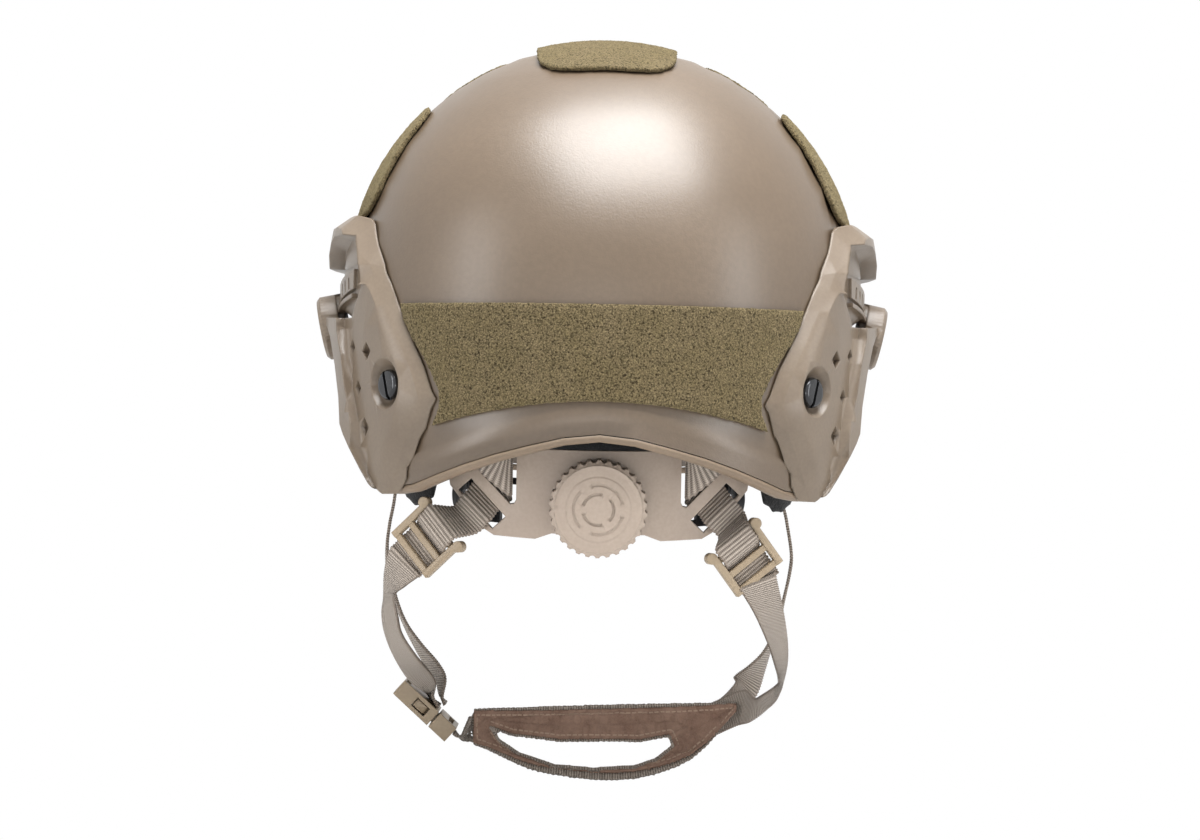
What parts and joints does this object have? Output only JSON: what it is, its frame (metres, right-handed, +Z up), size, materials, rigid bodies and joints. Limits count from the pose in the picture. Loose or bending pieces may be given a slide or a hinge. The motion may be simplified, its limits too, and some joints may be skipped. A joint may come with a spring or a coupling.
{
  "type": "combat helmet",
  "caption": "High-cut helmet shell with side rails, loop patches, a rear dial head band and a four-point chin harness.",
  "frame": {"origin": "middle of the head cavity, level with the lower edge of the rear rail screws", "axes": "+Z up, the brow faces -Y, the dial faces +Y, the wearer's left side is +X"},
  "size_m": [0.261, 0.2764, 0.3479],
  "materials": {
    "shell_coat": "matt textured coat",
    "edging": "matt",
    "foam": "matt foam",
    "pad_cloth": "brushed knit",
    "loop_pile": "loop pile",
    "rail_plastic": "satin moulded",
    "hardware": "dark oxide",
    "plated_steel": "satin",
    "nape_plastic": "satin moulded",
    "black_plastic": "satin moulded",
    "gear_plastic": "satin",
    "webbing": "ribbed webbing",
    "buckle_plastic": "satin moulded",
    "suede": "suede"
  },
  "bodies": {
    "shell": {"shell": "shell_coat", "edge_trim": "edging", "liner": "foam", "front_pad": "pad_cloth", "crown_pad": "pad_cloth", "side_pads": "pad_cloth", "back_pads": "pad_cloth", "rear_patch": "loop_pile", "crown_patch": "loop_pile", "side_patches": "loop_pile", "front_patches": "loop_pile", "rail_left": "rail_plastic", "rail_right": "rail_plastic", "rail_screws": "hardware", "rail_nuts": "plated_steel", "shroud": "rail_plastic", "shroud_screws": "hardware", "shroud_nuts": "plated_steel", "rear_anchors": "plated_steel", "front_anchors": "plated_steel", "nape_plate": "nape_plastic", "nape_cover": "black_plastic", "nape_pad": "pad_cloth", "rear_strap_left": "webbing", "rear_strap_right": "webbing", "front_strap_left": "webbing", "front_strap_right": "webbing", "ladder_lock_left": "buckle_plastic", "ladder_lock_right": "buckle_plastic", "buckle_socket": "buckle_plastic", "buckle_plug": "buckle_plastic", "cup_webbing": "webbing", "cup_lining": "suede"},
    "dial": {"dial_knob": "nape_plastic", "dial_pinion": "gear_plastic", "dial_screw": "plated_steel"},
    "arm_left": {"band_arm_left": "black_plastic"},
    "arm_right": {"band_arm_right": "black_plastic"},
    "prong_front": {"prong_front": "buckle_plastic"},
    "prong_back": {"prong_back": "buckle_plastic"}
  },
  "joints": [
    {"name": "dial_turn", "type": "hinge", "parent": "shell", "child": "dial", "pos_m": [0, 0.10659, -0.0372], "axis": [0, 0.9962, -0.0872], "range_deg": [-100, 100]},
    {"name": "arm_left_slide", "type": "hinge", "parent": "shell", "child": "arm_left", "pos_m": [0, 0.02192, -0.02979], "axis": [0, 0.0872, 0.9962], "range_deg": [-8, 8]},
    {"name": "arm_right_slide", "type": "hinge", "parent": "shell", "child": "arm_right", "pos_m": [0, 0.02192, -0.02979], "axis": [0, 0.0872, 0.9962], "range_deg": [-8, 8]},
    {"name": "prong_front_flex", "type": "hinge", "parent": "shell", "child": "prong_front", "pos_m": [0.07439, -0.071, -0.14565], "axis": [-0.6691, 0, 0.7431], "range_deg": [0, 13], "stiffness_Nm_per_rad": 0.02},
    {"name": "prong_back_flex", "type": "hinge", "parent": "shell", "child": "prong_back", "pos_m": [0.07439, -0.055, -0.14565], "axis": [0.6691, 0, -0.7431], "range_deg": [0, 13], "stiffness_Nm_per_rad": 0.02}
  ],
  "couplings": [
    {"joint": "arm_left_slide", "follows": "dial_turn", "ratio": -0.07742},
    {"joint": "arm_right_slide", "follows": "dial_turn", "ratio": 0.07742}
  ]
}
